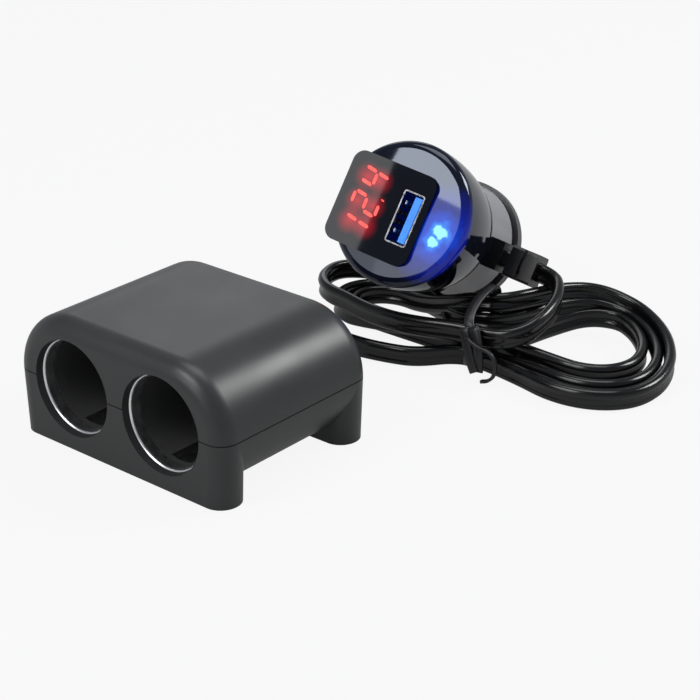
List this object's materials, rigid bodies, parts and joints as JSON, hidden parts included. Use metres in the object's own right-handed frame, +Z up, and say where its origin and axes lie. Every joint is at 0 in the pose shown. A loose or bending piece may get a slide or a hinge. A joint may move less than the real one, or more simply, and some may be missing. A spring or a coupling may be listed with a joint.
{
  "type": "cigarette lighter socket splitter",
  "caption": "Car power splitter: a low box with round accessory sockets, a tied flat cord and a round-headed plug with a voltage display and a USB charging port.",
  "frame": {"origin": "middle of the housing's underside, on the surface that its feet stand on", "axes": "+X across the two sockets, socket mouths look along -Y, +Z up"},
  "size_m": [0.1031, 0.1453, 0.0498],
  "materials": {
    "housing_plastic": "fine matte moulding",
    "liner_plastic": "matte black moulding",
    "ring_chrome": "bright plated",
    "strip_steel": "plated spring strip",
    "contact_brass": "plain brass",
    "core_red": "red core insulation",
    "core_black": "black core insulation",
    "screw_steel": "dark plated",
    "relief_rubber": "satin black moulding",
    "cord_pvc": "glossy black flat twin cord",
    "tie_plastic": "black coated tie",
    "head_plastic": "glossy dark blue, slightly see-through",
    "window_plastic": "glossy black panel",
    "display_block": "dark red display block",
    "port_steel": "folded plated steel",
    "tongue_plastic": "blue moulding",
    "contact_gold": "gold flash",
    "board_laminate": "green lacquered laminate",
    "lamp_blue": "clear blue lamp",
    "neck_plastic": "silver-grey gloss",
    "barrel_plastic": "black moulding",
    "side_steel": "plated spring leaf",
    "pin_steel": "plated turned pin",
    "fuse_glass": "clear glass",
    "fuse_metal": "plated caps",
    "spring_steel": "spring wire"
  },
  "bodies": {
    "splitter": {"top_cover": "housing_plastic", "bottom_cover": "housing_plastic", "cover_screws": "screw_steel", "positive_bus": "contact_brass", "negative_bus": "contact_brass", "positive_tail": "core_red", "negative_tail": "core_black", "housing_strain_relief": "relief_rubber", "plug_strain_relief": "relief_rubber", "cord_lead_housing": "cord_pvc", "cord_lead_plug": "cord_pvc", "cord_hank": "cord_pvc", "twist_tie": "tie_plastic", "head_shell": "head_plastic", "display_window": "window_plastic", "display_module": "display_block", "usb_shell": "port_steel", "usb_tongue": "tongue_plastic", "usb_contacts": "contact_gold", "circuit_board": "board_laminate", "indicator_led": "lamp_blue", "neck_ring": "neck_plastic", "plug_barrel": "barrel_plastic", "right_side_contact": "side_steel", "left_side_contact": "side_steel", "tip_nut": "barrel_plastic", "fuse_terminal": "contact_brass", "pin_spring": "spring_steel", "left_socket_ring": "ring_chrome", "left_socket_liner": "liner_plastic", "left_ground_strips": "strip_steel", "left_centre_contact": "contact_brass", "right_socket_ring": "ring_chrome", "right_socket_liner": "liner_plastic", "right_ground_strips": "strip_steel", "right_centre_contact": "contact_brass"},
    "plug_tip": {"centre_pin": "pin_steel", "fuse_tube": "fuse_glass", "fuse_caps": "fuse_metal"}
  },
  "joints": [
    {"name": "pin_press", "type": "slide", "parent": "splitter", "child": "plug_tip", "axis": [0.1703, -0.86, 0.481], "range_m": [0, 0.0035], "stiffness_N_per_m": 1500, "deforming": ["pin_spring"]}
  ]
}
